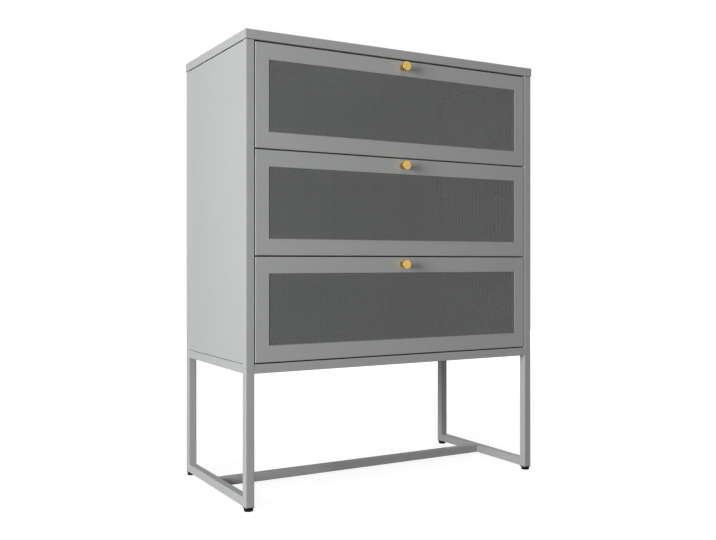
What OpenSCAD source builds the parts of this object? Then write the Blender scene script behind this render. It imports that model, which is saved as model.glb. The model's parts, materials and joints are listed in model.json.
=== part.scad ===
// Metal drawer cabinet on an open tube frame: three drawers with perforated fronts, each on a
// pair of ball-bearing telescopic slides, under a folded top.
// X runs across the width, the fronts face -Y and Z is up. The origin lies on the floor, midway
// across the width and midway between the knob faces and the back edge of the top.

/* [Cabinet] */
// Width over the posts
cabinet_w = 800; // [600:10:1200]
// Depth over the posts
cabinet_d = 400; // [330:10:600]
// Height from the floor to the top
cabinet_h = 1052; // [850:1:1400]
// Height from the floor to the underside of the drawer body
leg_h = 300; // [100:2:400]
// Number of drawers
drawer_count = 3; // [1:1:3]

/* [Frame] */
// Side of the square tube
tube = 20; // [16:0.5:30]
// Wall of the square tube
tube_wall = 1.5; // [1:0.1:2]
// Outer corner radius of the square tube
tube_r = 1.6; // [0.5:0.1:3]
// Distance of the stretcher behind the middle of the depth
stretcher_back = 15; // [-60:1:60]

/* [Sheet metal] */
// Thickness of the panels and the drawer sheets
sheet = 1; // [0.6:0.1:1.5]
// Inner radius of the bends in the sheets
bend_r = 0.6; // [0.3:0.1:1.5]
// Depth of the folded edges of the inset panels
panel_fold = 12; // [8:0.5:13]
// Gap beside an inset panel, at its posts
panel_side_gap = 0.3; // [0.2:0.1:0.8]
// Gap above and below an inset panel, at its rails
panel_end_gap = 0.9; // [0.3:0.1:0.9]
// Thickness of the top
cap_sheet = 1.2; // [0.8:0.1:2]
// Height of the folded edge of the top
cap_h = 21; // [15:0.5:40]
// Gap between the folded edge of the top and the frame
cap_gap = 0.3; // [0.2:0.1:0.9]

/* [Drawer fronts] */
// Gap above and below each front
front_gap = 3; // [2:0.5:5]
// Gap between the uppermost front and the folded edge of the top
top_gap = 3.8; // [2:0.2:6]
// Gap between a front and the posts
front_side_gap = 2; // [1.5:0.5:4]
// Depth of the folded front
front_d = 18; // [14:0.5:24]
// Border of the front beside the window
window_side = 32.5; // [26:0.5:60]
// Border of the front above and below the window
window_end = 36.5; // [30:0.5:50]
// How far the perforated sheet reaches behind the border
mesh_lap = 9; // [5:0.5:14]
// Diameter of the holes in the perforated sheet
mesh_hole_d = 9.5; // [6:0.5:12]
// Distance between neighbouring holes
mesh_pitch = 15; // [13:0.5:24]

/* [Drawer boxes] */
// Height of the box's underside above the lower edge of its front
box_under = 16; // [4:1:30]
// Distance from the box's upper edge to the upper edge of its front
box_over = 60; // [45:1:90]
// Width of the folds around a box side
box_fold = 10; // [8:0.5:14]

/* [Slides] */
// Height of a slide
slide_h = 45.5; // [42:0.5:60]
// Thickness of the slide members
gauge = 1.2; // [1:0.1:1.5]
// Diameter of the balls
ball_d = 4; // [3:0.1:5]
// Balls in a retainer strip
ball_count = 9; // [3:1:14]
// Play between a ball and its race
ball_play = 0.12; // [0.05:0.01:0.2]
// Depth of a race in its flange
race_depth = 0.35; // [0.2:0.05:0.4]

/* [Knobs] */
// Distance that a knob stands out from its front
knob_l = 25; // [18:0.5:35]
// Diameter of the knob's head
knob_d = 22; // [18:0.5:30]
// Thickness of the knob's head
knob_head_l = 5; // [3:0.5:8]
// Diameter of the knob's neck
knob_neck_d = 13.5; // [8:0.5:14]
// Distance of a knob above the middle of the border that carries it
knob_up = 1.5; // [0:0.5:4]

/* [Feet] */
// Height of the frame above the floor
foot_h = 9; // [7:0.5:14]
// Diameter of the foot's pad
foot_d = 20.5; // [14:0.5:30]
// Diameter of the foot's stud
stud_d = 6; // [5:0.5:8]

/* [Hidden] */
$fn = 48;
// Cut that runs past a face, so that no skin is left
past = 1;
// Clearance between pieces that lie against each other without touching
rest_gap = 0.3;
// Clearance between a piece and the sheet whose bend runs beside it
nest_gap = max(rest_gap, bend_r);

CABINET_NODES = [
    "top_cap", "side_frame_left", "side_frame_right", "front_rail", "back_rail",
    "front_top_rail", "back_top_rail", "stretcher", "side_panel_left", "side_panel_right",
    "back_panel", "floor_panel", "slide_brackets_left", "slide_brackets_right",
    "slide_screws", "foot_plugs", "foot_front_left", "foot_front_right", "foot_back_left",
    "foot_back_right",
];
DRAWER_NODES = [
    "drawer_front", "mesh_panel", "knob", "drawer_side_left", "drawer_side_right",
    "drawer_back", "drawer_bottom", "drawer_screws", "slide_inner", "slide_middle",
    "slide_outer", "outer_ball_strips", "inner_ball_strips",
];

// Places of the frame
weld_depth = tube_wall / 2;
cap_overhang = cap_sheet + cap_gap;
cap_bend_r = min(bend_r, cap_gap);
total_d = knob_l + cabinet_d + cap_overhang;
front_y = knob_l - total_d / 2;
back_y = front_y + cabinet_d;
side_x = cabinet_w / 2;
post_x = side_x - tube;
frame_top = cabinet_h - cap_sheet;
body_z = leg_h + tube;
body_top = frame_top - tube;

// Sizes of a drawer front: the fronts share the height between the lower rail and the folded
// edge of the top, and stay under the upper rail
front_w = 2 * (post_x - front_side_gap);
fronts_h = min(cabinet_h - cap_h, body_top) - body_z - top_gap;
front_h = fronts_h / drawer_count - front_gap;
window_w = front_w - 2 * window_side;
window_h = front_h - 2 * window_end;
fold_inset = 4.5;
front_fold = min(window_side, window_end) - fold_inset;

// Screws are all of one kind
screw_d = 4;
screw_head_d = 7;
screw_head_h = 1.3;
screw_l = 7;
screw_play = 0.4;
screw_hole_d = screw_d + screw_play;
screw_access_d = 10;

// Slide section: u runs from the post into the cabinet and v up from the slide's middle
ball_r = ball_d / 2;
race_r = ball_r + ball_play;
slide_play = 0.4;
web_play = 0.1;
middle_u = gauge + screw_head_h + slide_play;
outer_ball_u = middle_u + gauge + ball_r + web_play;
inner_ball_u = outer_ball_u + gauge;
outer_flange = outer_ball_u + ball_r + slide_play + gauge;
middle_flange = inner_ball_u + ball_r + slide_play + gauge;
slide_t = middle_flange + slide_play + web_play + gauge;
inner_u = inner_ball_u - ball_r;
lip = 1.2;
outer_race_v = slide_h / 2 - gauge;
outer_ball_v = outer_race_v + race_depth - race_r;
middle_v = outer_ball_v - race_r + race_depth;
inner_ball_v = middle_v - gauge + race_depth - race_r;
inner_v = inner_ball_v - race_r + race_depth;

// Slides come in lengths of full steps, the longest that leaves room behind the drawer
slide_step = 50;
slide_inset = 1;
rear_room = 2;
slide_room = front_d + tube + rear_room;
slide_l = slide_step * floor((cabinet_d - slide_room) / slide_step);
slide_y = front_y + front_d + slide_inset;
slide_screw_inset = 35;
slide_screw_ys = [for (k = [0 : 2]) slide_y + slide_screw_inset + k * (slide_l / 2 - slide_screw_inset)];
inner_screw_shift = 12;
inner_screw_ys = [slide_screw_ys[0] + inner_screw_shift, slide_screw_ys[2] - inner_screw_shift];
bracket_margin = 8;
bracket_h = slide_h + 2 * bracket_margin;
bracket_gap = 0.5;
bracket_d = tube - panel_fold - bracket_gap;

// Spare slots lie midway between the screws, and the screws of the fixed member are reached
// through windows in the middle member
slot_l = 14;
slot_ys = [for (k = [0 : 1]) (slide_screw_ys[k] + slide_screw_ys[k + 1]) / 2];
access_l = 20;
access_w = 12;

// A tab at the rear end of the fixed member stops the middle member
tab_w = 12;
middle_l = slide_l - gauge - slide_play;

// Retainer strips roll a quarter and three quarters of the drawer's way, between two members
strip_share = 0.44;
strip_l = slide_l * strip_share;
strip_y = slide_y + (slide_l - strip_l) / 2;
strip_t = 0.8;
strip_margin = 0.3;
strip_w = ball_d + 2 * strip_margin;

// Drawer box
box_x = post_x - slide_t;
box_l = slide_l + slide_inset;
box_y = front_y + front_d;
box_h = front_h - box_under - box_over;
hem = 8;

// Foot
plug_flange_h = 1.8;
plug_h = 14;
pad_h = foot_h - plug_flange_h - rest_gap;
stud_l = 20;

// Lower edge of front i, counted from the top drawer
function front_z(i) = body_z + front_gap + (drawer_count - i) * (front_h + front_gap);
function box_z(i) = front_z(i) + box_under;
function slide_z(i) = box_z(i) + box_h / 2;
function knob_z(i) = front_z(i) + front_h - window_end / 2 + knob_up;

// ---- Shapes that repeat ----

// Rectangle about the origin with round corners
module rounded_rect(w, h, r) {
    square([w - 2 * r, h], center = true);
    square([w, h - 2 * r], center = true);
    for (x = [-1, 1], y = [-1, 1])
        translate([x * (w / 2 - r), y * (h / 2 - r)])
            circle(r);
}

// A section drawn in x and z, run along y
module along_y(y, length) {
    translate([0, y + length, 0])
        rotate([90, 0, 0])
            linear_extrude(length) children();
}

// A section drawn in y and z, run along x
module along_x(x, length) {
    translate([x, 0, 0])
        rotate([90, 0, 90])
            linear_extrude(length) children();
}

module tube_section() {
    difference() {
        rounded_rect(tube, tube, tube_r);
        square(tube - 2 * tube_wall, center = true);
    }
}

// Tubes with their lowest corner at the origin, along each axis
module tube_x(length) {
    translate([0, tube / 2, tube / 2])
        along_x(0, length) tube_section();
}

module tube_y(length) {
    translate([tube / 2, 0, tube / 2])
        along_y(0, length) tube_section();
}

module tube_z(length) {
    translate([tube / 2, tube / 2, 0])
        linear_extrude(length) tube_section();
}

// Section with its lower corners round, from the origin along +X and +Y
module bent_section(w, h, r) {
    translate([0, r])
        square([w, h - r]);
    translate([r, 0])
        square([w - 2 * r, h]);
    for (x = [r, w - r])
        translate([x, r])
            circle(r);
}

// Block with its four lower edges round
module bent_block(size, h, r) {
    intersection() {
        along_y(0, size[1]) bent_section(size[0], h, r);
        along_x(0, size[0]) bent_section(size[1], h, r);
    }
}

// Sheet folded up along its four edges: the face lies on the XY plane and the folds stand on it
module tray(size, depth, t, r = bend_r) {
    difference() {
        bent_block(size, depth, r + t);
        translate([t, t, t])
            bent_block([size[0] - 2 * t, size[1] - 2 * t], depth, r);
    }
}

// Section of a channel with lips: its web stands on x = 0 and its mouth opens towards +X
module lipped_channel(w, h, t, lip) {
    difference() {
        translate([w / 2, 0])
            rounded_rect(w, h, t);
        translate([w / 2, 0])
            square([w - 2 * t, h - 2 * t], center = true);
        translate([w, 0])
            square([w, h - 2 * (t + lip)], center = true);
    }
}

// Hole with round ends, its length along Y, cut through the plane z = 0
module slot(length, width, depth) {
    linear_extrude(depth, center = true) {
        square([width, length - width], center = true);
        for (y = [-1, 1])
            translate([0, y * (length - width) / 2])
                circle(d = width);
    }
}

module both_sides() {
    children();
    mirror([1, 0, 0]) children();
}

module up_and_down() {
    children();
    mirror([0, 1, 0]) children();
}

// A slide section on the right-hand post, run along the slide's length
module on_right_post(i, y, length) {
    translate([post_x, 0, slide_z(i)])
        along_y(y, length) mirror([1, 0]) children();
}

// Pan-head screw: the head's seat lies on the XY plane and the shank runs down
module screw() {
    translate([0, 0, -screw_l]) cylinder(d = screw_d, h = screw_l);
    cylinder(d1 = screw_head_d, d2 = screw_head_d - 2, h = screw_head_h);
}

// ---- Frame ----

// Two posts, and rails at the floor, the body and the top, welded into the walls of the posts
module side_frame() {
    color("silver") {
        for (y = [front_y, back_y - tube])
            translate([0, y, foot_h])
                tube_z(frame_top - foot_h);
        for (z = [foot_h, leg_h, body_top])
            translate([0, front_y + tube - weld_depth, z])
                tube_y(cabinet_d - 2 * (tube - weld_depth));
    }
}

module side_frame_left() {
    translate([-side_x, 0, 0]) side_frame();
}

module side_frame_right() {
    translate([post_x, 0, 0]) side_frame();
}

module cross_rail(y, z, half_length) {
    color("silver")
        translate([-half_length, y, z])
            tube_x(2 * half_length);
}

module front_rail() {
    cross_rail(front_y, leg_h, post_x);
}

module back_rail() {
    cross_rail(back_y - tube, leg_h, post_x);
}

module front_top_rail() {
    cross_rail(front_y, body_top, post_x);
}

module back_top_rail() {
    cross_rail(back_y - tube, body_top, post_x);
}

// Runs between the floor rails, a little behind their middle
module stretcher() {
    cross_rail((front_y + back_y - tube) / 2 + stretcher_back, foot_h, post_x);
}

// ---- Panels ----

module top_cap() {
    w = cabinet_w + 2 * cap_overhang;
    d = cabinet_d + 2 * cap_overhang;
    color("silver")
        translate([0, (front_y + back_y) / 2, cabinet_h])
            intersection() {
                translate([-w / 2, d / 2, 0])
                    rotate([180, 0, 0])
                        tray([w, d], cap_h, cap_sheet, cap_bend_r);
                translate([0, 0, -cap_h])
                    linear_extrude(cap_h) rounded_rect(w, d, cap_sheet);
            }
}

// Panel between two posts, its face outwards on the XY plane
module inset_panel(clear_w) {
    panel_w = clear_w - 2 * panel_side_gap;
    panel_h = body_top - body_z - 2 * panel_end_gap;
    color("silver")
        translate([panel_side_gap, panel_end_gap, 0])
            tray([panel_w, panel_h], panel_fold, sheet);
}

module side_panel_left() {
    translate([-side_x, back_y - tube, body_z])
        rotate([90, 0, -90])
            mirror([0, 0, 1]) inset_panel(cabinet_d - 2 * tube);
}

module side_panel_right() {
    mirror([1, 0, 0]) side_panel_left();
}

module back_panel() {
    translate([-post_x, back_y, body_z])
        rotate([90, 0, 0])
            inset_panel(2 * post_x);
}

// Lies between the lower rails, its face level with their upper side
module floor_panel() {
    w = 2 * (post_x - panel_side_gap);
    d = cabinet_d - 2 * (tube + panel_side_gap);
    color("silver")
        translate([-w / 2, front_y + tube + panel_side_gap + d, body_z])
            rotate([180, 0, 0])
                tray([w, d], panel_fold, sheet);
}

// ---- Slides ----

// Channel between the posts, level with their inner faces, that carries a slide
module slide_bracket(i) {
    difference() {
        translate([post_x, 0, slide_z(i)])
            along_y(front_y + tube, cabinet_d - 2 * tube)
                lipped_channel(bracket_d, bracket_h, gauge, 0);
        slide_screw_places(i, slide_screw_ys)
            cylinder(d = screw_hole_d, h = 4 * gauge, center = true);
    }
}

module slide_brackets_right() {
    color("gainsboro")
        for (i = [1 : drawer_count])
            slide_bracket(i);
}

module slide_brackets_left() {
    mirror([1, 0, 0]) slide_brackets_right();
}

// Places on the right post's plane, with +Z into the cabinet
module slide_screw_places(i, ys) {
    for (y = ys)
        translate([post_x, y, slide_z(i)])
            rotate([0, -90, 0])
                children();
}

module slide_screws() {
    color("dimgray")
        for (i = [1 : drawer_count])
            both_sides()
                slide_screw_places(i, slide_screw_ys)
                    translate([0, 0, gauge])
                        screw();
}

// Fixed member: a channel whose lips hold the outer balls
module outer_section() {
    difference() {
        lipped_channel(outer_flange, slide_h, gauge, lip);
        up_and_down()
            translate([outer_ball_u, outer_ball_v])
                circle(race_r);
    }
}

// Middle member: outer balls run over its flanges and inner balls under them
module middle_section() {
    difference() {
        translate([middle_u, 0])
            lipped_channel(middle_flange - middle_u, 2 * middle_v, gauge, lip);
        up_and_down() {
            translate([outer_ball_u, outer_ball_v])
                circle(race_r);
            translate([inner_ball_u, inner_ball_v])
                circle(race_r);
        }
    }
}

// Drawer member: a channel that runs on the inner balls
module inner_section() {
    difference() {
        translate([slide_t, 0])
            mirror([1, 0])
                lipped_channel(slide_t - inner_u, 2 * inner_v, gauge, 0);
        up_and_down()
            translate([inner_ball_u, inner_ball_v])
                circle(race_r);
    }
}

module slide_outer(i) {
    color("lightgray")
        both_sides()
            difference() {
                union() {
                    on_right_post(i, slide_y, slide_l) outer_section();
                    on_right_post(i, slide_y + slide_l - gauge, gauge)
                        translate([0, -tab_w / 2])
                            square([middle_u + gauge, tab_w]);
                }
                slide_screw_places(i, slide_screw_ys)
                    cylinder(d = screw_hole_d, h = 4 * gauge, center = true);
                slide_screw_places(i, slot_ys) slot(slot_l, screw_hole_d, 4 * gauge);
            }
}

module slide_middle(i) {
    color("lightgray")
        both_sides()
            difference() {
                on_right_post(i, slide_y, middle_l) middle_section();
                translate([-middle_u, 0, 0])
                    slide_screw_places(i, slide_screw_ys) slot(access_l, access_w, 4 * gauge);
            }
}

module slide_inner(i) {
    color("lightgray")
        both_sides()
            difference() {
                on_right_post(i, slide_y, slide_l) inner_section();
                inner_screw_places(i, inner_screw_ys)
                    cylinder(d = screw_hole_d, h = 4 * gauge, center = true);
                inner_screw_places(i, slot_ys) slot(slot_l, screw_hole_d, 4 * gauge);
            }
}

// Flat strip with a row of balls in it, on the right-hand slide
module ball_strip(i, u, v) {
    translate([post_x - u, strip_y, slide_z(i) + v]) {
        translate([-strip_w / 2, 0, -strip_t / 2])
            cube([strip_w, strip_l, strip_t]);
        for (k = [0 : ball_count - 1])
            translate([0, strip_l * (k + 0.5) / ball_count, 0])
                sphere(r = ball_r);
    }
}

module outer_ball_strips(i) {
    color("gold")
        both_sides()
            for (v = [-outer_ball_v, outer_ball_v])
                ball_strip(i, outer_ball_u, v);
}

module inner_ball_strips(i) {
    color("gold")
        both_sides()
            for (v = [-inner_ball_v, inner_ball_v])
                ball_strip(i, inner_ball_u, v);
}

// ---- Drawer ----

// Sheet folded back along its edges and again behind them, with a window cut in its face: two
// trays mouth to mouth, the rear one open inside its fold
module folded_front() {
    difference() {
        translate([-front_w / 2, front_d / 2, 0])
            for (side = [0, 1])
                mirror([0, side, 0])
                    translate([0, front_d / 2, 0])
                        rotate([90, 0, 0])
                            tray([front_w, front_h], front_d / 2, sheet);
        translate([front_fold - front_w / 2, front_d / 2, front_fold])
            cube([front_w - 2 * front_fold, front_d, front_h - 2 * front_fold]);
        translate([-window_w / 2, -front_d / 2, window_end])
            cube([window_w, front_d, window_h]);
    }
}

// The rear fold has a wide hole behind the knob, so that its screw can be reached
module drawer_front(i) {
    color("darkgray")
        difference() {
            translate([0, front_y, front_z(i)])
                folded_front();
            knob_place(i) cylinder(d = screw_hole_d, h = front_d, center = true);
            translate([0, front_d, 0])
                knob_place(i) cylinder(d = screw_access_d, h = 2 * (past + sheet), center = true);
            both_sides()
                front_screw_places(i) cylinder(d = screw_hole_d, h = 4 * sheet, center = true);
        }
}

// Staggered rows of round holes over the window
module perforations() {
    column_step = mesh_pitch * sin(60);
    columns = floor((window_w / 2 - mesh_hole_d / 2) / column_step);
    rows = floor((window_h / 2 - mesh_hole_d / 2) / mesh_pitch);
    for (c = [-columns : columns]) {
        odd = abs(c) % 2;
        for (r = [-rows : rows - odd])
            translate([c * column_step, (r + odd / 2) * mesh_pitch])
                circle(d = mesh_hole_d);
    }
}

module mesh_panel(i) {
    color("dimgray")
        translate([0, front_y + sheet, front_z(i) + front_h / 2])
            along_y(0, sheet)
                difference() {
                    square([window_w + 2 * mesh_lap, window_h + 2 * mesh_lap], center = true);
                    perforations();
                }
}

// Half section of a turned knob: the axis is x = 0 and the foot lies on y = 0. The neck sweeps
// out into the head in a hollow curve, and the head's face is dished
module knob_profile() {
    bore_play = 0.1;
    edge_r = 1.2;
    rim_w = 2.2;
    dish_r = knob_d / 2 - rim_w;
    dish_depth = 1.4;
    dish_ball_r = (dish_r * dish_r + dish_depth * dish_depth) / (2 * dish_depth);
    neck_l = knob_l - knob_head_l;
    sweep_r = (knob_d - knob_neck_d) / 2 - edge_r;
    difference() {
        union() {
            square([knob_neck_d / 2, neck_l + past]);
            translate([0, neck_l - sweep_r])
                square([knob_neck_d / 2 + sweep_r, sweep_r + past]);
            translate([0, neck_l]) {
                square([knob_d / 2 - edge_r, knob_head_l]);
                translate([0, edge_r])
                    square([knob_d / 2, knob_head_l - 2 * edge_r]);
                for (y = [edge_r, knob_head_l - edge_r])
                    translate([knob_d / 2 - edge_r, y])
                        circle(edge_r);
            }
        }
        translate([knob_neck_d / 2 + sweep_r, neck_l - sweep_r])
            circle(sweep_r);
        translate([0, knob_l - dish_depth + dish_ball_r])
            circle(dish_ball_r, $fn = 120);
        translate([0, -past])
            square([screw_d / 2 + bore_play, screw_l - sheet + 2 * past]);
        translate([-2 * knob_d, -knob_l])
            square([2 * knob_d, 3 * knob_l]);
    }
}

// Place of knob i on the face of its front, with +Z out towards the user
module knob_place(i) {
    translate([0, front_y, knob_z(i)])
        rotate([90, 0, 0])
            children();
}

module knob(i) {
    color("goldenrod")
        knob_place(i) rotate_extrude() knob_profile();
}

// Box sides are trays: the folds face inwards and carry the bottom, the back and the front
module drawer_side_right(i) {
    color("darkgray")
        difference() {
            translate([box_x, box_y, box_z(i)])
                rotate([90, 0, 90])
                    mirror([0, 0, 1]) tray([box_l, box_h], box_fold, sheet);
            inner_screw_places(i, inner_screw_ys)
                cylinder(d = screw_hole_d, h = 4 * sheet, center = true);
            front_screw_places(i) cylinder(d = screw_hole_d, h = 4 * sheet, center = true);
        }
}

module drawer_side_left(i) {
    mirror([1, 0, 0]) drawer_side_right(i);
}

// Stands on the bottom before the rear folds of the sides, with a closed hem between the folds
// along its upper edge
module drawer_back(i) {
    half_w = box_x - sheet - nest_gap;
    hem_half_w = box_x - box_fold - rest_gap;
    h = box_h - 3 * sheet - rest_gap;
    color("darkgray")
        translate([0, box_y + box_l - 2 * sheet, box_z(i) + 2 * sheet]) {
            along_x(-half_w, 2 * half_w)
                square([sheet, h - sheet]);
            along_x(-hem_half_w, 2 * hem_half_w) {
                translate([0, h - hem])
                    square([2 * sheet, hem - sheet]);
                translate([sheet, h - sheet])
                    circle(sheet);
            }
        }
}

// Lies on the lower folds of the sides
module drawer_bottom(i) {
    half_w = box_x - sheet - nest_gap;
    color("darkgray")
        translate([-half_w, box_y + sheet, box_z(i) + sheet])
            cube([2 * half_w, box_l - 2 * sheet, sheet]);
}

// Screws that hold the drawer member: heads in the slide, +Z out to the post
module inner_screw_places(i, ys) {
    for (y = ys)
        translate([box_x, y, slide_z(i)])
            rotate([0, 90, 0])
                children();
}

// Screws that hold the front: heads in the box, +Z into the box
module front_screw_places(i) {
    for (z = [0.25, 0.75])
        translate([box_x - box_fold / 2 - sheet / 2, box_y, box_z(i) + z * box_h])
            rotate([-90, 0, 0])
                children();
}

module drawer_screws(i) {
    color("dimgray") {
        translate([0, sheet, 0])
            knob_place(i) mirror([0, 0, 1]) screw();
        both_sides() {
            inner_screw_places(i, inner_screw_ys) translate([0, 0, gauge]) screw();
            front_screw_places(i) translate([0, 0, sheet]) screw();
        }
    }
}

// ---- Feet ----

module foot_place(side, end) {
    y = end < 0 ? front_y + tube / 2 : back_y - tube / 2;
    translate([side * (side_x - tube / 2), y, 0])
        children();
}

// Plug in the end of a post, with a flange under the tube and a hole for the stud
module foot_plug() {
    inside = tube - 2 * tube_wall - 2 * rest_gap;
    difference() {
        union() {
            translate([0, 0, foot_h - plug_flange_h])
                linear_extrude(plug_flange_h) rounded_rect(tube, tube, tube_r);
            translate([0, 0, foot_h])
                linear_extrude(plug_h) square(inside, center = true);
        }
        translate([0, 0, -past])
            cylinder(d = stud_d + 0.3, h = foot_h + plug_h + 2 * past);
    }
}

module foot_plugs() {
    color("black")
        for (side = [-1, 1], end = [-1, 1])
            foot_place(side, end) foot_plug();
}

// Round pad with a chamfered edge on a threaded stud
module foot() {
    chamfer = 0.8;
    color("black") {
        cylinder(d1 = foot_d - 2 * chamfer, d2 = foot_d, h = chamfer);
        translate([0, 0, chamfer])
            cylinder(d = foot_d, h = pad_h - chamfer);
        translate([0, 0, pad_h - past])
            cylinder(d = stud_d, h = stud_l + past);
    }
}

module foot_front_left() {
    foot_place(-1, -1) foot();
}

module foot_front_right() {
    foot_place(1, -1) foot();
}

module foot_back_left() {
    foot_place(-1, 1) foot();
}

module foot_back_right() {
    foot_place(1, 1) foot();
}

top_cap();
side_frame_left();
side_frame_right();
front_rail();
back_rail();
front_top_rail();
back_top_rail();
stretcher();
side_panel_left();
side_panel_right();
back_panel();
floor_panel();
slide_brackets_left();
slide_brackets_right();
slide_screws();
foot_plugs();
foot_front_left();
foot_front_right();
foot_back_left();
foot_back_right();

for (i = [1 : drawer_count]) {
    drawer_front(i);
    mesh_panel(i);
    knob(i);
    drawer_side_left(i);
    drawer_side_right(i);
    drawer_back(i);
    drawer_bottom(i);
    drawer_screws(i);
    slide_inner(i);
    slide_middle(i);
    slide_outer(i);
    outer_ball_strips(i);
    inner_ball_strips(i);
}
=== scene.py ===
"""Looks of a metal drawer cabinet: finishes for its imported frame, and the finer pieces around it.

Every length is in metres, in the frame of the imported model: X across the width, the drawer
fronts face -Y and Z is up.
"""

import json
import math

import bmesh
import bpy
from bpy.props import FloatProperty, FloatVectorProperty, IntProperty, PointerProperty
from mathutils import Matrix, Vector

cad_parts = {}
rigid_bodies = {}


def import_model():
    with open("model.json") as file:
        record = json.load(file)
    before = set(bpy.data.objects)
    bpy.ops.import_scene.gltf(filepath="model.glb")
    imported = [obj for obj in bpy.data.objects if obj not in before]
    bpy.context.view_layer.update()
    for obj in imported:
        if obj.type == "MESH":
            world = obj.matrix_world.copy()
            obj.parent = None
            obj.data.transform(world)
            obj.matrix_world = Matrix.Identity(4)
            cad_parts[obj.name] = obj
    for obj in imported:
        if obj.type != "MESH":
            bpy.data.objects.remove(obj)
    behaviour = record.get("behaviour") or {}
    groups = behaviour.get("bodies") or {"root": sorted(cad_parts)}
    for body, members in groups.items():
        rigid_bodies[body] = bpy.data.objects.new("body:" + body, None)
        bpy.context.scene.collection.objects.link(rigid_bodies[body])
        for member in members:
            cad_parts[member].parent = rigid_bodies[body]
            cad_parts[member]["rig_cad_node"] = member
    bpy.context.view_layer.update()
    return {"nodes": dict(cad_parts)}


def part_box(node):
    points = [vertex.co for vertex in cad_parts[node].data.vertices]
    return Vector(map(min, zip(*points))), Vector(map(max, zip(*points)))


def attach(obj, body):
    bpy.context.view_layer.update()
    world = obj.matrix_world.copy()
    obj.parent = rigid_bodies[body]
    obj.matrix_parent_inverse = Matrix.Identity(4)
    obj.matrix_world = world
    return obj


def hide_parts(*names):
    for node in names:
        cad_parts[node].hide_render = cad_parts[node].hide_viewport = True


bl_info = {
    "name": "Metal drawer cabinet",
    "version": (1, 0, 0),
    "blender": (4, 5, 0),
    "location": "View3D > Sidebar > Cabinet",
    "description": "Finishes and fine pieces for a metal drawer cabinet on a tube frame",
    "category": "Object",
}

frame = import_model()

MM = 0.001

# Points nearer than this are one point, in a copy of a CAD node and in a new piece
MERGE = 1e-6
WELD = 0.01 * MM

# Edges that turn further than this stay sharp
SHARP = math.radians(35)

DRAWERS = sorted(int(n.rsplit("_", 1)[1]) for n in frame["nodes"] if n.startswith("knob_"))
FEET = ("front_left", "front_right", "back_left", "back_right")
SIDE_NODES = (
    "side_frame_left",
    "side_frame_right",
    "side_panel_left",
    "side_panel_right",
)
RAIL_NODES = (
    "front_rail",
    "back_rail",
    "front_top_rail",
    "back_top_rail",
    "stretcher",
)
PANEL_NODES = (
    "top_cap",
    "back_panel",
    "floor_panel",
    "slide_brackets_left",
    "slide_brackets_right",
)
DRAWER_SHEETS = (
    "drawer_front",
    "drawer_side_left",
    "drawer_side_right",
    "drawer_back",
    "drawer_bottom",
)
SLIDE_MEMBERS = ("slide_inner", "slide_middle", "slide_outer")

# Specular levels: the powder coat hardly shines, and the feet a little
PAINT_SPECULAR = 0.02
PLASTIC_SPECULAR = 0.10

# Colours of the small parts
SCREW_STEEL = (0.56, 0.56, 0.55)
RETAINER_STEEL = (0.42, 0.41, 0.38)
BALL_STEEL = (0.70, 0.70, 0.71)
STUD_STEEL = (0.50, 0.50, 0.49)
BLACK = (0.004, 0.004, 0.004)

# Place and edge length of each lamp, and the point that all of them face
LAMPS = {
    "key": ((-4.1, -1.6, 1.1), 1.8),
    "overhead": ((-1.3, -2.5, 4.9), 2.0),
    "back": ((3.6, 3.2, 0.9), 2.0),
}
LIT_POINT = (0, 0, 0.6)

# Lens shift to the photo's frame, and how far the camera sees
CAMERA_SHIFT = (-0.01188, -0.01176)
CAMERA_REACH = 200

# Size of the floor, and its brightness to the camera under the cabinet and far from it
FLOOR_RADIUS = 30
NEAR_GLOW = 0.86
FAR_GLOW = 0.96
GLOW_REACH = 3.0


# ---- Settings ----


class PaintSettings(bpy.types.PropertyGroup):
    """Powder coat of the frame, the panels and the drawers"""

    colour: FloatVectorProperty(
        name="Colour",
        description="Colour of the powder coat",
        subtype="COLOR",
        size=3,
        min=0,
        max=1,
        default=(0.428, 0.438, 0.433),
    )
    mesh_colour: FloatVectorProperty(
        name="Mesh colour",
        description="Colour of the powder coat on the perforated sheets",
        subtype="COLOR",
        size=3,
        min=0,
        max=1,
        default=(0.240, 0.246, 0.243),
    )
    roughness: FloatProperty(
        name="Roughness",
        description="Roughness of the powder coat",
        subtype="FACTOR",
        min=0,
        max=1,
        default=0.64,
    )
    grain: FloatProperty(
        name="Grain",
        description="Distance between the small waves in the powder coat",
        unit="LENGTH",
        min=0.0002,
        max=0.01,
        default=0.0014,
    )
    # Painted shadow: the dark line is shade under the folded edge of the top, painted into the
    # colour of the sides
    shadow_line_reach: FloatProperty(
        name="Painted shadow line",
        description="Reach of the dark line on the sides, where the folded edge of the top ends",
        unit="LENGTH",
        min=0,
        max=0.02,
        default=0.0025,
    )


class PerforationSettings(bpy.types.PropertyGroup):
    """Holes of the perforated sheets"""

    hole: FloatProperty(
        name="Hole",
        description="Diameter of a hole",
        unit="LENGTH",
        min=0.001,
        max=0.02,
        default=0.0036,
    )
    rows: IntProperty(
        name="Rows",
        description="Rows of holes over the height of the window",
        min=2,
        max=60,
        default=31,
    )
    column_step: FloatProperty(
        name="Column step",
        description="Distance between neighbouring columns of holes",
        unit="LENGTH",
        min=0.002,
        max=0.03,
        default=0.0044,
    )
    lap: FloatProperty(
        name="Lap",
        description="Width of the plain border that lies behind the front",
        unit="LENGTH",
        min=0.001,
        max=0.03,
        default=0.009,
    )


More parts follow.
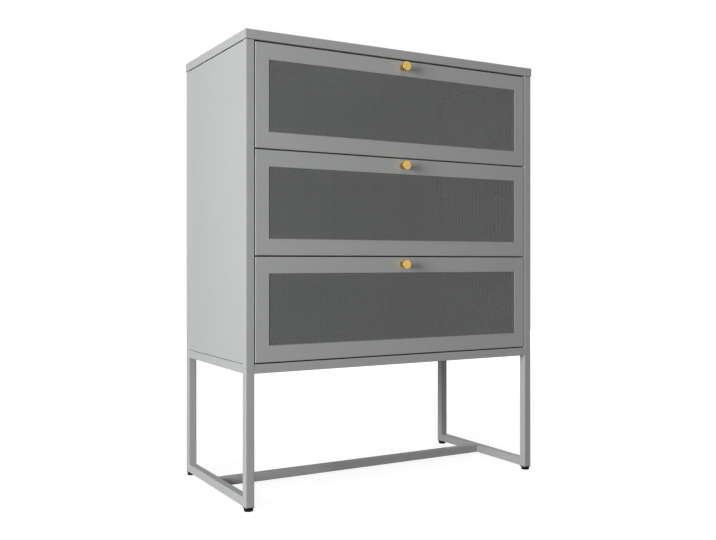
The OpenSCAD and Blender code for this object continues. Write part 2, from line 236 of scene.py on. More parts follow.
class HardwareSettings(bpy.types.PropertyGroup):
    """Knobs, screws, slides and feet"""

    brass: FloatVectorProperty(
        name="Brass",
        description="Colour of the knobs",
        subtype="COLOR",
        size=3,
        min=0,
        max=1,
        default=(0.66, 0.445, 0.120),
    )
    zinc: FloatVectorProperty(
        name="Zinc",
        description="Colour of the plated slides",
        subtype="COLOR",
        size=3,
        min=0,
        max=1,
        default=(0.60, 0.615, 0.63),
    )
    recess: FloatProperty(
        name="Recess",
        description="Length of the cross recess in a screw head",
        unit="LENGTH",
        min=0.001,
        max=0.006,
        default=0.0038,
    )
    balls: IntProperty(
        name="Balls",
        description="Balls in one retainer strip",
        min=1,
        max=40,
        default=9,
    )
    flutes: IntProperty(
        name="Flutes",
        description="Grip flutes round the pad of a foot",
        min=6,
        max=60,
        default=24,
    )
    thread_pitch: FloatProperty(
        name="Thread pitch",
        description="Pitch of the thread on the stud of a foot",
        unit="LENGTH",
        min=0.0005,
        max=0.003,
        default=0.001,
    )


class StageSettings(bpy.types.PropertyGroup):
    """Floor, lamps and camera"""

    floor_colour: FloatVectorProperty(
        name="Floor",
        description="Colour of the floor",
        subtype="COLOR",
        size=3,
        min=0,
        max=1,
        default=(0.30, 0.30, 0.30),
    )
    fill: FloatProperty(
        name="Fill",
        description="Strength of the even light from all round",
        min=0,
        max=2,
        default=0.20,
    )
    key: FloatProperty(
        name="Key",
        description="Power of the large lamp on the left",
        unit="POWER",
        min=0,
        max=2000,
        default=190,
    )
    overhead: FloatProperty(
        name="Overhead",
        description="Power of the lamp above and in front",
        unit="POWER",
        min=0,
        max=2000,
        default=46,
    )
    back: FloatProperty(
        name="Back",
        description="Power of the lamp behind on the right",
        unit="POWER",
        min=0,
        max=2000,
        default=115,
    )
    camera_at: FloatVectorProperty(
        name="Camera",
        description="Place of the camera",
        subtype="TRANSLATION",
        unit="LENGTH",
        size=3,
        default=(-1.1278, -1.9721, 0.5452),
    )
    camera_turn: FloatProperty(
        name="Camera turn",
        description="Turn of the level camera to the right of straight ahead",
        subtype="ANGLE",
        default=math.radians(30.004),
    )
    lens: FloatProperty(
        name="Lens",
        description="Focal length of the camera in millimetres on a 36 mm sensor",
        min=10,
        max=300,
        default=44.196,
    )


# ---- Materials ----

# Noise seldom leaves this range
NOISE_LOW = 0.3
NOISE_HIGH = 0.7


class Finish:
    """A material with a Principled shader, and short ways to add patterns to it"""

    def __init__(self, name, metallic=0.0, specular=0.5):
        self.material = bpy.data.materials.new(name)
        self.material.use_nodes = True
        self.nodes = self.material.node_tree.nodes
        self.links = self.material.node_tree.links
        self.shader = self.nodes["Principled BSDF"]
        self.shader.inputs["Metallic"].default_value = metallic
        self.shader.inputs["Specular IOR Level"].default_value = specular
        self.place = self.nodes.new("ShaderNodeTexCoord").outputs["Object"]

    def centred(self, centre):
        """Object coordinates that are zero at centre"""
        shift = self.nodes.new("ShaderNodeMapping")
        shift.inputs["Location"].default_value = -Vector(centre)
        self.links.new(self.place, shift.inputs["Vector"])
        return shift.outputs["Vector"]

    def noise(self, size, detail=2.0, stretch=(1, 1, 1)):
        """Noise from 0 to 1 with features about size across"""
        vector = self.place
        if stretch != (1, 1, 1):
            squeeze = self.nodes.new("ShaderNodeMapping")
            squeeze.inputs["Scale"].default_value = stretch
            self.links.new(vector, squeeze.inputs["Vector"])
            vector = squeeze.outputs["Vector"]
        pattern = self.nodes.new("ShaderNodeTexNoise")
        pattern.inputs["Scale"].default_value = 1 / size
        pattern.inputs["Detail"].default_value = detail
        self.links.new(vector, pattern.inputs["Vector"])
        return pattern.outputs["Fac"]

    def rings(self, centre, step, direction="Y", distortion=0.6, detail=3):
        """Turned rings round an axis through centre, step apart"""
        pattern = self.nodes.new("ShaderNodeTexWave")
        pattern.wave_type = "RINGS"
        pattern.rings_direction = direction
        # At scale 1 a wave texture has 20 rings in 2 pi
        pattern.inputs["Scale"].default_value = 2 * math.pi / 20 / step
        pattern.inputs["Distortion"].default_value = distortion
        pattern.inputs["Detail"].default_value = detail
        self.links.new(self.centred(centre), pattern.inputs["Vector"])
        return pattern.outputs["Fac"]

    def spread(self, pattern, low, high):
        """Noise or rings brought between low and high"""
        ranged = self.nodes.new("ShaderNodeMapRange")
        ranged.inputs["From Min"].default_value = NOISE_LOW
        ranged.inputs["From Max"].default_value = NOISE_HIGH
        ranged.inputs["To Min"].default_value = low
        ranged.inputs["To Max"].default_value = high
        self.links.new(pattern, ranged.inputs["Value"])
        return ranged.outputs["Result"]

    def roughness(self, pattern, low, high):
        """Roughness between low and high, as the pattern says"""
        self.links.new(self.spread(pattern, low, high), self.shader.inputs["Roughness"])
        return self

    def colours(self, pattern, dark, light):
        """Base colour between dark and light, as the pattern says"""
        mix = self.nodes.new("ShaderNodeMix")
        mix.data_type = "RGBA"
        mix.inputs["A"].default_value = (*dark, 1)
        mix.inputs["B"].default_value = (*light, 1)
        self.links.new(self.spread(pattern, 0, 1), mix.inputs["Factor"])
        self.links.new(mix.outputs["Result"], self.shader.inputs["Base Color"])
        return self

    def maths(self, operation, value, other=0.0):
        """One step of arithmetic on an output"""
        step = self.nodes.new("ShaderNodeMath")
        step.operation = operation
        step.inputs[1].default_value = other
        self.links.new(value, step.inputs[0])
        return step.outputs[0]

    def painted_shadow_line(self, axis, place, reach):
        """Painted shadow: darkens the colour towards a plane, from reach on either side of it"""
        parts = self.nodes.new("ShaderNodeSeparateXYZ")
        self.links.new(self.place, parts.inputs[0])
        away = self.maths("ABSOLUTE", self.maths("SUBTRACT", parts.outputs[axis], place))
        near = self.nodes.new("ShaderNodeMapRange")
        near.inputs["From Max"].default_value = reach
        near.inputs["To Min"].default_value = 1
        near.inputs["To Max"].default_value = 0
        self.links.new(away, near.inputs["Value"])
        mix = self.nodes.new("ShaderNodeMix")
        mix.data_type = "RGBA"
        mix.inputs["B"].default_value = (0, 0, 0, 1)
        colour = self.shader.inputs["Base Color"]
        self.links.new(self.maths("POWER", near.outputs["Result"], 2), mix.inputs["Factor"])
        self.links.new(colour.links[0].from_socket, mix.inputs["A"])
        self.links.new(mix.outputs["Result"], colour)
        return self

    def relief(self, *layers):
        """Bump from (pattern, depth) pairs, with the depth in metres"""
        normal = None
        for pattern, depth in layers:
            bump = self.nodes.new("ShaderNodeBump")
            bump.inputs["Distance"].default_value = depth
            self.links.new(pattern, bump.inputs["Height"])
            if normal:
                self.links.new(normal, bump.inputs["Normal"])
            normal = bump.outputs["Normal"]
        self.links.new(normal, self.shader.inputs["Normal"])
        return self


def shade(colour, share):
    """A colour made darker or lighter"""
    return tuple(c * share for c in colour)


def powder_coat(name, colour, settings, shadow_line_at=None):
    """Matt powder coat: a fine orange peel, an even colour and, when a height is given, a painted
    shadow line there, for the shade under the edge of the top
    """
    finish = Finish(name, specular=PAINT_SPECULAR)
    cloud = finish.noise(size=0.22, detail=3)
    fine = finish.noise(size=settings.grain / 3, detail=1)
    finish.colours(cloud, shade(colour, 0.985), shade(colour, 1.015))
    finish.roughness(fine, settings.roughness - 0.04, settings.roughness + 0.04)
    finish.relief((finish.noise(size=settings.grain), 0.06 * MM), (fine, 0.01 * MM))
    # Painted shadow under the edge of the top, for the shade of its overhang
    if shadow_line_at is not None:
        finish.painted_shadow_line("Z", shadow_line_at, settings.shadow_line_reach)
    return finish.material


def turned_brass(name, colour, centre):
    """Satin brass, with the fine rings that a lathe leaves round its axis"""
    finish = Finish(name, metallic=1.0)
    rings = finish.rings(centre, step=0.35 * MM)
    cloud = finish.noise(size=12 * MM, detail=3)
    finish.colours(cloud, shade(colour, 0.93), shade(colour, 1.04))
    finish.roughness(rings, 0.26, 0.36)
    finish.relief((rings, 0.008 * MM), (finish.noise(size=0.6 * MM), 0.006 * MM))
    return finish.material


def zinc_plate(name, colour):
    """Zinc plate on rolled strip, with roll marks along the slide"""
    finish = Finish(name, metallic=1.0)
    cloud = finish.noise(size=30 * MM, detail=4)
    marks = finish.noise(size=0.5 * MM, stretch=(1, 0.02, 1))
    finish.colours(cloud, shade(colour, 0.90), shade(colour, 1.06))
    finish.roughness(marks, 0.24, 0.40)
    finish.relief((marks, 0.006 * MM))
    return finish.material


def plated_steel(name, colour, rough):
    """Plated steel of small parts"""
    finish = Finish(name, metallic=1.0)
    cloud = finish.noise(size=2 * MM, detail=3)
    finish.colours(cloud, shade(colour, 0.88), shade(colour, 1.08))
    finish.roughness(cloud, rough - 0.06, rough + 0.06)
    finish.relief((finish.noise(size=0.3 * MM), 0.004 * MM))
    return finish.material


def moulded_plastic(name, colour):
    """Black plastic from a spark-eroded mould"""
    finish = Finish(name, specular=PLASTIC_SPECULAR)
    skin = finish.noise(size=0.4 * MM)
    finish.colours(finish.noise(size=8 * MM), shade(colour, 0.8), shade(colour, 1.2))
    finish.roughness(skin, 0.46, 0.62)
    finish.relief((skin, 0.02 * MM))
    return finish.material


# ---- Shapes ----


def coat(obj, *materials):
    """Gives a piece or a CAD node its materials"""
    if "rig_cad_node" in obj:
        for holder in obj.material_slots:
            holder.material = materials[0]
    else:
        for material in materials:
            obj.data.materials.append(material)
    return obj


def piece(name, bm):
    """A new object from bm, shaded smooth between its sharp edges"""
    bmesh.ops.recalc_face_normals(bm, faces=bm.faces)
    for face in bm.faces:
        face.smooth = True
    for edge in bm.edges:
        edge.smooth = edge.is_manifold and edge.calc_face_angle(math.pi) < SHARP
    mesh = bpy.data.meshes.new(name)
    bm.to_mesh(mesh)
    bm.free()
    obj = bpy.data.objects.new(name, mesh)
    bpy.context.scene.collection.objects.link(obj)
    return obj


def settle(obj, body, slot, *nodes):
    """A finished piece rides on its body and stands for its CAD nodes"""
    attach(obj, body)
    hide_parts(*nodes)
    return obj


def merged_copy(node):
    """A bmesh of a CAD node with its loose triangles joined"""
    bm = bmesh.new()
    bm.from_mesh(frame["nodes"][node].data)
    bmesh.ops.remove_doubles(bm, verts=bm.verts, dist=MERGE)
    return bm


def solids(node):
    """Points of each separate solid of a CAD node"""
    bm = merged_copy(node)
    left = set(bm.verts)
    found = []
    for start in bm.verts:
        if start not in left:
            continue
        left.remove(start)
        grown = [start]
        for vert in grown:
            for edge in vert.link_edges:
                other = edge.other_vert(vert)
                if other in left:
                    left.remove(other)
                    grown.append(other)
        found.append([vert.co.copy() for vert in grown])
    bm.free()
    return found


def of_kind(geom, kind):
    """The verts, edges or faces among what an operator made"""
    return [g for g in geom if isinstance(g, kind)]


def box_of(points):
    """Lowest and highest corners of the box round some points"""
    low = Vector(map(min, *points))
    high = Vector(map(max, *points))
    return low, high


def add(bm, part, place, material=0):
    """Adds a copy of part to bm, placed and in one of the piece's materials"""
    for face in part.faces:
        face.material_index = material
    mesh = bpy.data.meshes.new("part")
    part.to_mesh(mesh)
    mesh.transform(place)
    bm.from_mesh(mesh)
    bpy.data.meshes.remove(mesh)


# ---- Perforated sheets ----


def perforated_cell(bm, hole, column_step, row_step):
    """Slanted cell of sheet round one hole, which tiles in staggered columns"""
    half = column_step / 2
    slant = row_step / 4
    corners = [
        bm.verts.new((x, y + math.copysign(slant, x), 0))
        for x, y in (
            (-half, -row_step / 2),
            (half, -row_step / 2),
            (half, row_step / 2),
            (-half, row_step / 2),
        )
    ]
    outline = [bm.edges.new((corners[k - 1], corners[k])) for k in range(4)]
    sides = 8
    # A polygon as open as the round hole
    radius = hole / 2 * math.sqrt(2 * math.pi / (sides * math.sin(2 * math.pi / sides)))
    bmesh.ops.create_circle(bm, segments=sides, radius=radius)
    circle = [edge for edge in bm.edges if edge not in outline]
    bmesh.ops.triangle_fill(bm, edges=outline + circle, use_beauty=True)
    return bm.faces[:]


def moved_copy(bm, faces, shift):
    """A copy of faces, moved by shift; returns the new faces"""
    made = bmesh.ops.duplicate(bm, geom=faces)["geom"]
    bmesh.ops.translate(bm, vec=shift, verts=of_kind(made, bmesh.types.BMVert))
    return of_kind(made, bmesh.types.BMFace)


def tiled(bm, faces, step, count):
    """The faces and their copies, count in all, each moved on by step"""
    row = list(faces)
    for k in range(1, count):
        row += moved_copy(bm, faces, Vector(step) * k)
    return row


def perforated_sheet(width, height, thickness, settings):
    """Sheet in the XY plane about the origin, with staggered holes up to its plain lap"""
    margin = 0.6 * MM
    step = settings.column_step
    window_w = width - 2 * settings.lap
    window_h = height - 2 * settings.lap
    row_step = (window_h - settings.hole - 2 * margin) / (settings.rows - 1)
    per_side = int((window_w - settings.hole) / 2 / step)
    bm = bmesh.new()

    # Full and short columns in turn, with a full one at each end
    cell = perforated_cell(bm, settings.hole, step, row_step)
    full = tiled(bm, cell, (0, row_step, 0), settings.rows)
    short = full[: len(cell) * (settings.rows - 1)]
    pair = full + moved_copy(bm, short, (step, row_step / 2, 0))
    tiled(bm, pair, (2 * step, 0, 0), per_side)
    moved_copy(bm, full, (2 * per_side * step, 0, 0))
    bmesh.ops.remove_doubles(bm, verts=bm.verts, dist=WELD)
    middle = Vector((per_side * step, (settings.rows - 1) * row_step / 2, 0))
    bmesh.ops.translate(bm, vec=-middle, verts=bm.verts)

    # The plain border joins the stepped rim of the cells to the edge of the sheet
    rim = [e for e in bm.edges if e.is_boundary and e.calc_length() > settings.hole / 2]
    border = bmesh.ops.create_grid(
        bm,
        x_segments=1,
        y_segments=1,
        size=0.5,
        matrix=Matrix.Diagonal((width, height, 1, 1)),
    )["verts"]
    bmesh.ops.delete(bm, geom=border[0].link_faces[:], context="FACES_ONLY")
    outer = [e for e in bm.edges if e.verts[0] in border]
    bmesh.ops.triangle_fill(bm, edges=rim + outer, use_beauty=True, normal=(0, 0, 1))

    bmesh.ops.recalc_face_normals(bm, faces=bm.faces)
    back = bmesh.ops.extrude_face_region(bm, geom=bm.faces[:], use_keep_orig=True)["geom"]
    lifted = of_kind(back, bmesh.types.BMVert)
    bmesh.ops.translate(bm, vec=(0, 0, thickness), verts=lifted)
    return bm


class CABINET_OT_perforated_sheets(bpy.types.Operator):
    """Make the perforated sheets behind the windows of the fronts"""

    bl_idname = "cabinet.perforated_sheets"
    bl_label = "Perforated sheets"

    def execute(self, context):
        scene = context.scene
        settings = scene.cabinet_paint
        paint = powder_coat("mesh_powder_coat", settings.mesh_colour, settings)
        low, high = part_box(f"mesh_panel_{DRAWERS[0]}")
        size = high - low
        shape = perforated_sheet(size.x, size.z, size.y, scene.cabinet_perforation)
        bmesh.ops.rotate(shape, matrix=Matrix.Rotation(math.pi / 2, 3, "X"), verts=shape.verts)
        first = piece("perforated_sheet", shape)
        for i in DRAWERS:
            low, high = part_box(f"mesh_panel_{i}")
            sheet = first.copy()
            sheet.name = f"perforated_sheet_{i}"
            sheet.data = first.data.copy()
            place = Vector(((low.x + high.x) / 2, high.y, (low.z + high.z) / 2))
            sheet.data.transform(Matrix.Translation(place))
            scene.collection.objects.link(sheet)
            settle(coat(sheet, paint), f"drawer_{i}", "grey_mesh", f"mesh_panel_{i}")
        bpy.data.objects.remove(first)
        return {"FINISHED"}


# ---- Powder-coated steel ----


class CABINET_OT_powder_coat(bpy.types.Operator):
    """Powder coat the frame, the panels and the drawers, with a painted shadow on the sides under
    the edge of the top
    """

    bl_idname = "cabinet.powder_coat"
    bl_label = "Powder coat"

    def execute(self, context):
        settings = context.scene.cabinet_paint
        # The sides get a painted shadow line under the edge of the top
        edge_of_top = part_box("top_cap")[0].z
        side = powder_coat("side_powder_coat", settings.colour, settings, shadow_line_at=edge_of_top)
        tube = powder_coat("tube_powder_coat", settings.colour, settings)
        sheet = powder_coat("sheet_powder_coat", settings.colour, settings)
        for name in SIDE_NODES:
            coat(frame["nodes"][name], side)
        for name in RAIL_NODES:
            coat(frame["nodes"][name], tube)
        for name in PANEL_NODES:
            coat(frame["nodes"][name], sheet)
        for i in DRAWERS:
            for name in DRAWER_SHEETS:
                coat(frame["nodes"][f"{name}_{i}"], sheet)
        return {"FINISHED"}


# ---- Knobs ----


class CABINET_OT_knobs(bpy.types.Operator):
    """Give each knob its turned brass"""

    bl_idname = "cabinet.knobs"
    bl_label = "Knobs"

    def execute(self, context):
        colour = context.scene.cabinet_hardware.brass
        for i in DRAWERS:
            low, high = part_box(f"knob_{i}")
            brass = turned_brass(f"turned_brass_{i}", colour, (low + high) / 2)
            coat(frame["nodes"][f"knob_{i}"], brass)
        return {"FINISHED"}


# ---- Screws ----


def seat_of(points):
    """Where a screw's head sits: its centre, the way from shank to head, and the head's radius
    and height with the shank's length"""
    low, high = box_of(points)
    size = high - low
    axis = max(range(3), key=lambda k: size[k])
    unit = Vector([float(k == axis) for k in range(3)])
    centre = (low + high) / 2

    def from_axis(point):
        return (Vector(point) - centre - (point[axis] - centre[axis]) * unit).length

    radius = max(from_axis(p) for p in points)
    rim = [p[axis] for p in points if from_axis(p) > 0.99 * radius]
    seat = sum(rim) / len(rim)
    up = high[axis] - seat < seat - low[axis]
    head = high[axis] - seat if up else seat - low[axis]
    place = centre.copy()
    place[axis] = seat
    return place, unit if up else -unit, radius, head, size[axis] - head


def pan_head_screw(radius, head, shank, recess):
    """Pan-head screw with a cross recess: its seat lies on the XY plane and its head on +Z"""
    crown_r = 0.86 * radius
    crown_edge = 0.6 * head
    tip_r = 0.50 * radius
    shank_r = 0.57 * radius
    arm = recess / 2
    half = 0.13 * recess
    depth = 0.7 * head
    taper = 0.8
    bm = bmesh.new()
    bmesh.ops.create_cone(
        bm,
        cap_ends=True,
        segments=20,
        radius1=radius,
        radius2=crown_r,
        depth=head,
        matrix=Matrix.Translation((0, 0, head / 2)),
    )
    crown = [e for e in bm.edges if all(v.co.z > 0.9 * head for v in e.verts)]
    bmesh.ops.bevel(
        bm,
        geom=crown,
        offset=crown_edge,
        segments=3,
        profile=0.5,
        affect="EDGES",
        material=-1,
    )
    for plane in (Vector((1, 0, 0)), Vector((0, 1, 0))):
        for cut in (-arm, -half, half, arm):
            geom = bm.verts[:] + bm.edges[:] + bm.faces[:]
            bmesh.ops.bisect_plane(bm, geom=geom, plane_co=plane * cut, plane_no=plane)

    def in_cross(face):
        centre = face.calc_center_median()
        near, far = sorted((abs(centre.x), abs(centre.y)))
        return centre.z > 0.95 * head and near < half and far < arm

    cross = [f for f in bm.faces if in_cross(f)]
    sunk = bmesh.ops.extrude_face_region(bm, geom=cross)["geom"]
    floor = of_kind(sunk, bmesh.types.BMVert)
    bmesh.ops.translate(bm, vec=(0, 0, -depth), verts=floor)
    bmesh.ops.scale(bm, vec=(taper, taper, 1), verts=floor)
    bmesh.ops.create_cone(
        bm,
        cap_ends=True,
        segments=12,
        radius1=tip_r,
        radius2=shank_r,
        depth=shank,
        matrix=Matrix.Translation((0, 0, -shank / 2)),
    )
    return bm


class CABINET_OT_screws(bpy.types.Operator):
    """Make the pan-head screws of the slides and the drawers"""

    bl_idname = "cabinet.screws"
    bl_label = "Screws"

    def execute(self, context):
        recess = context.scene.cabinet_hardware.recess
        steel = plated_steel("screw_plate", SCREW_STEEL, rough=0.34)
        sets = [("slide_screws", "cabinet", "slide_screw_set")]
        sets += [(f"drawer_screws_{i}", f"drawer_{i}", f"drawer_screw_set_{i}") for i in DRAWERS]
        for node, body, name in sets:
            bm = bmesh.new()
            for points in solids(node):
                place, up, radius, head, shank = seat_of(points)
                turn = Vector((0, 0, 1)).rotation_difference(up).to_matrix().to_4x4()
                screw = pan_head_screw(radius, head, shank, recess)
                add(bm, screw, Matrix.Translation(place) @ turn)
                screw.free()
            settle(coat(piece(name, bm), steel), body, "screw_steel", node)
        return {"FINISHED"}


# ---- Slides ----


def retainer(bm, low, high, balls):
    """Strip with rounded ends and a cup for each ball, then the balls in a second material"""
    size = high - low
    centre = (low + high) / 2
    strip_t = 0.8 * MM
    ball_r = size.z / 2
    cup_r = 1.1 * ball_r
    end_r = 0.45 * size.x
    strip = bmesh.new()
    bmesh.ops.create_cube(strip, matrix=Matrix.Diagonal((size.x, size.y, strip_t, 1)))
    upright = [e for e in strip.edges if abs(e.verts[0].co.z - e.verts[1].co.z) > MERGE]
    bmesh.ops.bevel(
        strip,
        geom=upright,
        offset=end_r,
        segments=4,
        profile=0.5,
        affect="EDGES",
        material=-1,
    )
    cup = bmesh.new()
    bmesh.ops.create_cone(
        cup, cap_ends=True, segments=12, radius1=cup_r, radius2=cup_r, depth=2 * strip_t
    )
    ball = bmesh.new()
    bmesh.ops.create_icosphere(ball, subdivisions=2, radius=ball_r)
    add(bm, strip, Matrix.Translation(centre))
    for k in range(balls):
        y = low.y + size.y * (k + 0.5) / balls
        place = Matrix.Translation((centre.x, y, centre.z))
        add(bm, cup, place)
        add(bm, ball, place, material=1)
    for part in (strip, cup, ball):
        part.free()


class CABINET_OT_slides(bpy.types.Operator):
    """Plate the slides, and make their ball retainers"""

    bl_idname = "cabinet.slides"
    bl_label = "Slides"

    def execute(self, context):
        settings = context.scene.cabinet_hardware
        zinc = zinc_plate("slide_zinc", settings.zinc)
        strip = plated_steel("retainer_plate", RETAINER_STEEL, rough=0.38)
        ball = plated_steel("ball_polish", BALL_STEEL, rough=0.14)
        for i in DRAWERS:
            for name in SLIDE_MEMBERS:
                coat(frame["nodes"][f"{name}_{i}"], zinc)
            for way in ("outer", "inner"):
                node = f"{way}_ball_strips_{i}"
                bm = bmesh.new()
                for points in solids(node):
                    retainer(bm, *box_of(points), settings.balls)
                made = coat(piece(f"{way}_retainers_{i}", bm), strip, ball)
                settle(made, f"{way}_balls_{i}", "ball_steel", node)
        return {"FINISHED"}


# ---- Feet ----


def foot_pad(radius, height, flutes):
    """Round pad with grip flutes and soft edges, from z = 0 up"""
    around = 4 * flutes
    edge_r = 0.03 * radius
    # Radius at the bottom of a flute, as a share of the pad's
    flute_share = 0.955
    bm = bmesh.new()
    bmesh.ops.create_cone(
        bm,
        cap_ends=True,
        segments=around,
        radius1=radius,
        radius2=radius,
        depth=height,
        matrix=Matrix.Translation((0, 0, height / 2)),
    )

    def in_flute(vert):
        turned = math.atan2(vert.co.y, vert.co.x) / (2 * math.pi) * around
        return round(turned) % 4 in (0, 1)

    sunk = [v for v in bm.verts if in_flute(v)]
    bmesh.ops.scale(bm, vec=(flute_share, flute_share, 1), verts=sunk)
    rims = [e for e in bm.edges if any(len(f.verts) > 4 for f in e.link_faces)]
    bmesh.ops.bevel(
        bm,
        geom=rims,
        offset=edge_r,
        segments=2,
        profile=0.5,
        affect="EDGES",
        material=-1,
    )
    return bm


def threaded_stud(radius, low, high, pitch):
    """Stud with a helical thread from low to high"""
    steps = 14
    turns = int((high - low) / pitch) - 1
    # A metric thread is this deep
    depth = 0.54 * pitch
    bm = bmesh.new()
    points = [
        bm.verts.new((radius - depth, 0, low)),
        bm.verts.new((radius, 0, low + pitch / 2)),
        bm.verts.new((radius - depth, 0, low + pitch)),
    ]
    profile = [bm.edges.new(points[:2]), bm.edges.new(points[1:])]
    bmesh.ops.spin(
        bm,
        geom=points + profile,
        axis=(0, 0, 1),
        cent=(0, 0, 0),
        dvec=(0, 0, pitch / steps),
        angle=2 * math.pi * turns,
        steps=steps * turns,
        use_duplicate=False,
    )
    bmesh.ops.remove_doubles(bm, verts=bm.verts, dist=WELD)
    bmesh.ops.holes_fill(bm, edges=[e for e in bm.edges if e.is_boundary], sides=0)
    return bm


class CABINET_OT_feet(bpy.types.Operator):
    """Make the levelling feet, and give the tube plugs their plastic"""

    bl_idname = "cabinet.feet"
    bl_label = "Feet"

    def execute(self, context):
        settings = context.scene.cabinet_hardware
        plastic = moulded_plastic("black_plastic_skin", BLACK)
        steel = plated_steel("stud_plate", STUD_STEEL, rough=0.36)
        coat(frame["nodes"]["foot_plugs"], plastic)
        for corner in FEET:
            node = f"foot_{corner}"
            low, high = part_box(node)
            centre = (low + high) / 2
            radius = (high.x - low.x) / 2
            points = [v.co for v in frame["nodes"][node].data.vertices]
            pad_top = max(p.z for p in points if (p.xy - centre.xy).length > 0.9 * radius)
            stud_r = max((p.xy - centre.xy).length for p in points if p.z > pad_top + MM)
            pad = foot_pad(radius, pad_top, settings.flutes)
            stud = threaded_stud(stud_r, pad_top - MM, high.z, settings.thread_pitch)
            bm = bmesh.new()
            place = Matrix.Translation((centre.x, centre.y, 0))
            add(bm, pad, place)
            add(bm, stud, place, material=1)
            pad.free()
            stud.free()
            foot = coat(piece(f"levelling_{node}", bm), plastic, steel)
            settle(foot, f"level_{corner}", "black_plastic", node)
        return {"FINISHED"}


# ---- Stage ----


def camera_ray_share(nodes, links):
    """1 for what the camera sees, and for what shows in gloss and glass"""
    path = nodes.new("ShaderNodeLightPath")
    seen = path.outputs["Is Camera Ray"]
    for name in ("Is Glossy Ray", "Is Transmission Ray"):
        both = nodes.new("ShaderNodeMath")
        both.operation = "MAXIMUM"
        links.new(seen, both.inputs[0])
        links.new(path.outputs[name], both.inputs[1])
        seen = both.outputs[0]
    return seen


def floor_material(colour):
    """Matt floor that reads almost white to the camera and keeps its shadows"""
    made = bpy.data.materials.new("pale_floor")
    made.use_nodes = True
    nodes, links = made.node_tree.nodes, made.node_tree.links
    shader = nodes["Principled BSDF"]
    shader.inputs["Base Color"].default_value = (*colour, 1)
    shader.inputs["Roughness"].default_value = 0.9
    shader.inputs["Specular IOR Level"].default_value = 0.0
    place = nodes.new("ShaderNodeTexCoord")
    shrunk = nodes.new("ShaderNodeMapping")
    shrunk.inputs["Scale"].default_value = (1 / GLOW_REACH, 1 / GLOW_REACH, 1)
    near = nodes.new("ShaderNodeTexGradient")
    near.gradient_type = "SPHERICAL"
    level = nodes.new("ShaderNodeMapRange")
    level.inputs["To Min"].default_value = FAR_GLOW
    level.inputs["To Max"].default_value = NEAR_GLOW
    glow = nodes.new("ShaderNodeMath")
    glow.operation = "MULTIPLY"
    links.new(place.outputs["Object"], shrunk.inputs["Vector"])
    links.new(shrunk.outputs["Vector"], near.inputs["Vector"])
    links.new(near.outputs["Fac"], level.inputs["Value"])
    links.new(level.outputs["Result"], glow.inputs[1])
    links.new(camera_ray_share(nodes, links), glow.inputs[0])
    shader.inputs["Emission Color"].default_value = (1, 1, 1, 1)
    links.new(glow.outputs[0], shader.inputs["Emission Strength"])
    return made


def white_world(fill):
    """Even grey light all round, seen as white by the camera and in gloss"""
    world = bpy.data.worlds.new("studio")
    world.use_nodes = True
    nodes, links = world.node_tree.nodes, world.node_tree.links
    grey = nodes["Background"]
    grey.inputs["Color"].default_value = (1, 1, 1, 1)
    grey.inputs["Strength"].default_value = fill
    white = nodes.new("ShaderNodeBackground")
    white.inputs["Color"].default_value = (1, 1, 1, 1)
    white.inputs["Strength"].default_value = 1.0
    mix = nodes.new("ShaderNodeMixShader")
    links.new(camera_ray_share(nodes, links), mix.inputs["Fac"])
    links.new(grey.outputs[0], mix.inputs[1])
    links.new(white.outputs[0], mix.inputs[2])
    links.new(mix.outputs[0], nodes["World Output"].inputs["Surface"])
    return world


def soft_lamp(name, place, size, power):
    """Large square lamp that faces the lit point"""
    lamp = bpy.data.lights.new(name, "AREA")
    lamp.shape = "SQUARE"
    lamp.size = size
    lamp.energy = power
    obj = bpy.data.objects.new(name, lamp)
    obj.location = place
    ray = Vector(LIT_POINT) - Vector(place)
    obj.rotation_euler = ray.to_track_quat("-Z", "Y").to_euler()
    bpy.context.scene.collection.objects.link(obj)


def photo_camera(settings):
    """The level camera that sees the cabinet as the photo does"""
    camera = bpy.data.cameras.new("photo_camera")
    camera.lens = settings.lens
    camera.shift_x, camera.shift_y = CAMERA_SHIFT
    camera.clip_end = CAMERA_REACH
    eye = bpy.data.objects.new("photo_camera", camera)
    eye.location = settings.camera_at
    eye.rotation_euler = (math.pi / 2, 0, -settings.camera_turn)
    bpy.context.scene.collection.objects.link(eye)
    return eye


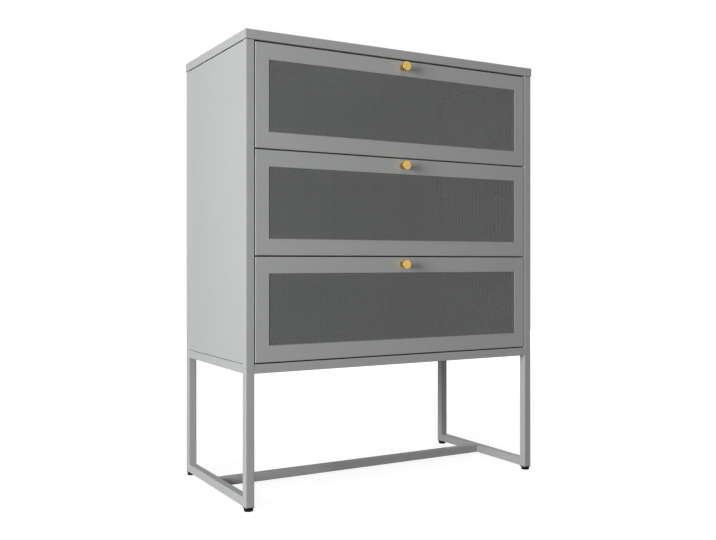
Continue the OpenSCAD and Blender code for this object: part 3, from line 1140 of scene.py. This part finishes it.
class CABINET_OT_stage(bpy.types.Operator):
    """Make the floor, the lamps and the camera"""

    bl_idname = "cabinet.stage"
    bl_label = "Stage"

    def execute(self, context):
        scene = context.scene
        settings = scene.cabinet_stage
        bm = bmesh.new()
        bmesh.ops.create_circle(bm, cap_ends=True, segments=64, radius=FLOOR_RADIUS)
        floor = piece("studio_floor", bm)
        coat(floor, floor_material(settings.floor_colour))
        scene.world = white_world(settings.fill)
        for name, (place, size) in LAMPS.items():
            soft_lamp(f"{name}_lamp", place, size, getattr(settings, name))
        scene.camera = photo_camera(settings)
        scene.view_settings.view_transform = "Standard"
        return {"FINISHED"}


# ---- Panel and registration ----


class CABINET_PT_sidebar(bpy.types.Panel):
    """Pieces and finishes of the cabinet"""

    bl_idname = "CABINET_PT_sidebar"
    bl_label = "Metal drawer cabinet"
    bl_space_type = "VIEW_3D"
    bl_region_type = "UI"
    bl_category = "Cabinet"

    def draw(self, context):
        for group in SETTINGS:
            values = getattr(context.scene, group)
            for name in values.bl_rna.properties.keys():
                if name not in {"rna_type", "name"}:
                    self.layout.prop(values, name)
        for operator in OPERATORS:
            self.layout.operator(operator.bl_idname)


SETTINGS = {
    "cabinet_paint": PaintSettings,
    "cabinet_perforation": PerforationSettings,
    "cabinet_hardware": HardwareSettings,
    "cabinet_stage": StageSettings,
}
OPERATORS = (
    CABINET_OT_powder_coat,
    CABINET_OT_perforated_sheets,
    CABINET_OT_knobs,
    CABINET_OT_screws,
    CABINET_OT_slides,
    CABINET_OT_feet,
    CABINET_OT_stage,
)


def register():
    for made in (*SETTINGS.values(), *OPERATORS, CABINET_PT_sidebar):
        bpy.utils.register_class(made)
    for name, group in SETTINGS.items():
        setattr(bpy.types.Scene, name, PointerProperty(type=group))


def unregister():
    for name in SETTINGS:
        delattr(bpy.types.Scene, name)
    for made in reversed((*SETTINGS.values(), *OPERATORS, CABINET_PT_sidebar)):
        bpy.utils.unregister_class(made)


def main():
    register()
    bpy.ops.cabinet.powder_coat()
    bpy.ops.cabinet.perforated_sheets()
    bpy.ops.cabinet.knobs()
    bpy.ops.cabinet.screws()
    bpy.ops.cabinet.slides()
    bpy.ops.cabinet.feet()
    bpy.ops.cabinet.stage()


if __name__ == "__main__":
    main()
